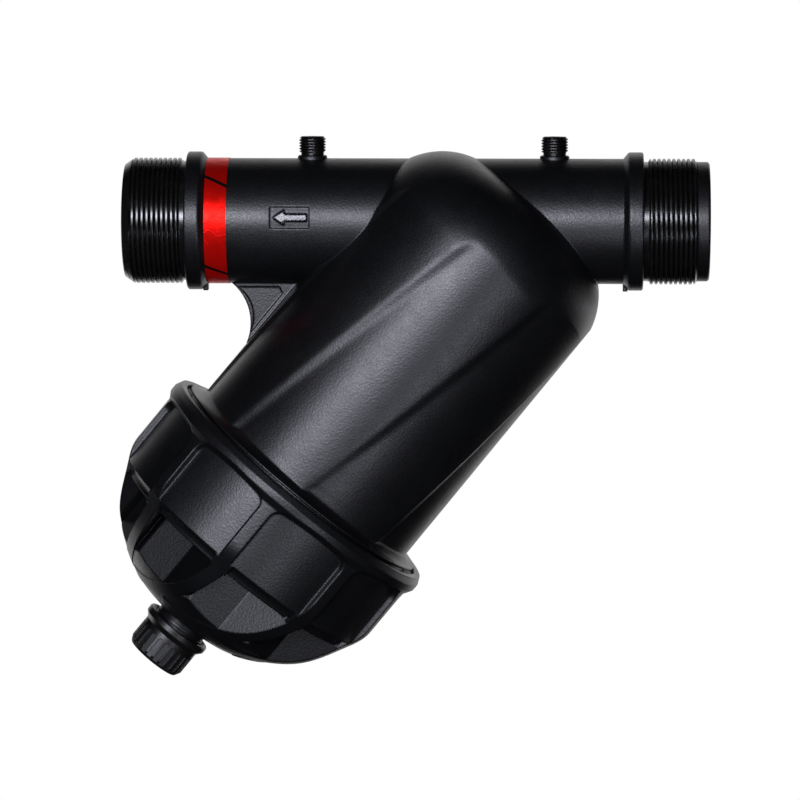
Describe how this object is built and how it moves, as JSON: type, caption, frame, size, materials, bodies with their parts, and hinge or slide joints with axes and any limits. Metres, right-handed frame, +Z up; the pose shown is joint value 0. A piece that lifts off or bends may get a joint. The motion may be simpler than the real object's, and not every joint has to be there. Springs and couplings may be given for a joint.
{
  "type": "inline filter",
  "caption": "Y-pattern inline water filter with male threaded ends, two gauge nozzles, slanted screen housing, ribbed screw-on cover and drain cap.",
  "frame": {"origin": "centre of the outer face of the inlet collar, on the pipe's axis, where a fitting screwed onto the inlet thread stops", "axes": "+X along the pipe, out of the inlet end; +Z up, the way the gauge nozzles point; water runs towards -X and the screen housing slants down towards -X and -Z"},
  "size_m": [0.2805, 0.1502, 0.2587],
  "materials": {
    "moulded_plastic": "fine moulded grain, satin",
    "cap_plastic": "smooth, half gloss",
    "red_foil": "metallic foil",
    "seal_rubber": "nitrile rubber",
    "cartridge_plastic": "grey moulded plastic",
    "steel_mesh": "woven stainless mesh"
  },
  "bodies": {
    "housing": {"housing": "moulded_plastic", "foil_label": "red_foil", "cover_o_ring": "seal_rubber"},
    "cartridge": {"support_tube": "cartridge_plastic", "screen_mesh": "steel_mesh", "cartridge_top_ring": "cartridge_plastic", "cartridge_foot_ring": "cartridge_plastic", "cartridge_top_seal": "seal_rubber", "cartridge_foot_seal": "seal_rubber"},
    "cover": {"cover": "moulded_plastic"},
    "drain_seal": {"drain_gasket": "seal_rubber"},
    "drain_cap": {"drain_cap": "cap_plastic"}
  },
  "joints": [
    {"name": "cover_travel", "type": "slide", "parent": "housing", "child": "cartridge", "axis": [-0.6361, 0, -0.7716], "range_m": [0, 0.015]},
    {"name": "cover_turn", "type": "hinge", "parent": "cartridge", "child": "cover", "pos_m": [-0.17509, 0, -0.13889], "axis": [-0.6361, 0, -0.7716], "range_deg": [0, 1082]},
    {"name": "drain_travel", "type": "slide", "parent": "cover", "child": "drain_seal", "axis": [-0.6361, 0, -0.7716], "range_m": [0, 0.00907]},
    {"name": "drain_turn", "type": "hinge", "parent": "drain_seal", "child": "drain_cap", "pos_m": [-0.22598, 0, -0.20062], "axis": [-0.6361, 0, -0.7716], "range_deg": [0, 1802]}
  ],
  "couplings": [
    {"joint": "cover_turn", "follows": "cover_travel", "rad_per_m": 1256.6},
    {"joint": "drain_turn", "follows": "drain_travel", "rad_per_m": 3463.7}
  ]
}
